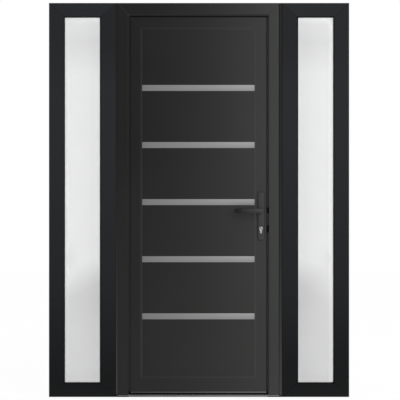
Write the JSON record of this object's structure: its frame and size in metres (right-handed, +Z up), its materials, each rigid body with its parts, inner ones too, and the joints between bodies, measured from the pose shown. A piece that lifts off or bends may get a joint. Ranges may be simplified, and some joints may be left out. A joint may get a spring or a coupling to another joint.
{
  "type": "door with sidelights",
  "caption": "Black entrance door with metal strips and a lever handle, in its own frame between narrow frosted glass sidelights on an aluminium threshold.",
  "frame": {"origin": "under the middle of the whole unit, on the underside of the threshold, in the middle of the frame's depth", "axes": "+X right across the outside face, +Y into the building, +Z up"},
  "size_m": [1.548, 0.198, 2.032],
  "materials": {
    "sidelight_frame": "satin black foil on plastic bars",
    "door_frame": "satin black foil on plastic bars",
    "leaf_bars": "satin black foil on plastic bars",
    "door_panel": "satin black smooth panel skin",
    "coupling_black": "black coupling strip",
    "frosted_glass": "satin frosted pane",
    "clear_glass": "clear pane",
    "spacer": "grey spacer bar",
    "black_rubber": "black extruded gasket",
    "threshold_aluminium": "mill aluminium",
    "satin_strip": "satin brushed strip",
    "handle_black": "satin black powder coat",
    "nickel": "satin nickel",
    "satin_steel": "satin steel"
  },
  "bodies": {
    "frame": {"door_head": "door_frame", "door_threshold": "threshold_aluminium", "hinge_frame_halves": "satin_steel", "hinge_jamb": "door_frame", "hinge_side_coupling": "coupling_black", "left_bottom_rail": "sidelight_frame", "left_glass_gasket": "black_rubber", "left_glass_spacer": "spacer", "left_glazing_beads": "sidelight_frame", "left_inner_pane": "clear_glass", "left_inner_stile": "sidelight_frame", "left_outer_pane": "frosted_glass", "left_outer_stile": "sidelight_frame", "left_top_rail": "sidelight_frame", "lock_jamb": "door_frame", "lock_side_coupling": "coupling_black", "right_bottom_rail": "sidelight_frame", "right_glass_gasket": "black_rubber", "right_glass_spacer": "spacer", "right_glazing_beads": "sidelight_frame", "right_inner_pane": "clear_glass", "right_inner_stile": "sidelight_frame", "right_outer_pane": "frosted_glass", "right_outer_stile": "sidelight_frame", "right_top_rail": "sidelight_frame", "stop_seal": "black_rubber", "strike_plate": "satin_steel"},
    "leaf": {"leaf_hinge_stile": "leaf_bars", "leaf_lock_stile": "leaf_bars", "leaf_top_rail": "leaf_bars", "leaf_bottom_rail": "leaf_bars", "lock_faceplate": "satin_steel", "lock_bolts": "satin_steel", "door_panel": "door_panel", "panel_gasket": "black_rubber", "panel_beads": "leaf_bars", "outer_trim_strips": "satin_strip", "inner_trim_strips": "satin_strip", "leaf_drip_strip": "threshold_aluminium", "leaf_drop_seal": "black_rubber", "outer_handle_plate": "handle_black", "inner_handle_plate": "handle_black", "lock_cylinder": "nickel", "key_plugs": "nickel", "hinge_leaf_halves": "satin_steel"},
    "handle": {"outer_lever": "handle_black", "inner_lever": "handle_black", "handle_spindle": "satin_steel"}
  },
  "joints": [
    {"name": "door_hinge", "type": "hinge", "parent": "frame", "child": "leaf", "pos_m": [-0.396, 0.06, 1], "axis": [0, 0, 1], "range_deg": [0, 95]},
    {"name": "lever_turn", "type": "hinge", "parent": "leaf", "child": "handle", "pos_m": [0.319, 0.014, 0.961], "axis": [0, -1, 0], "range_deg": [0, 35], "stiffness_Nm_per_rad": 1.5, "springref_deg": -28.65}
  ]
}
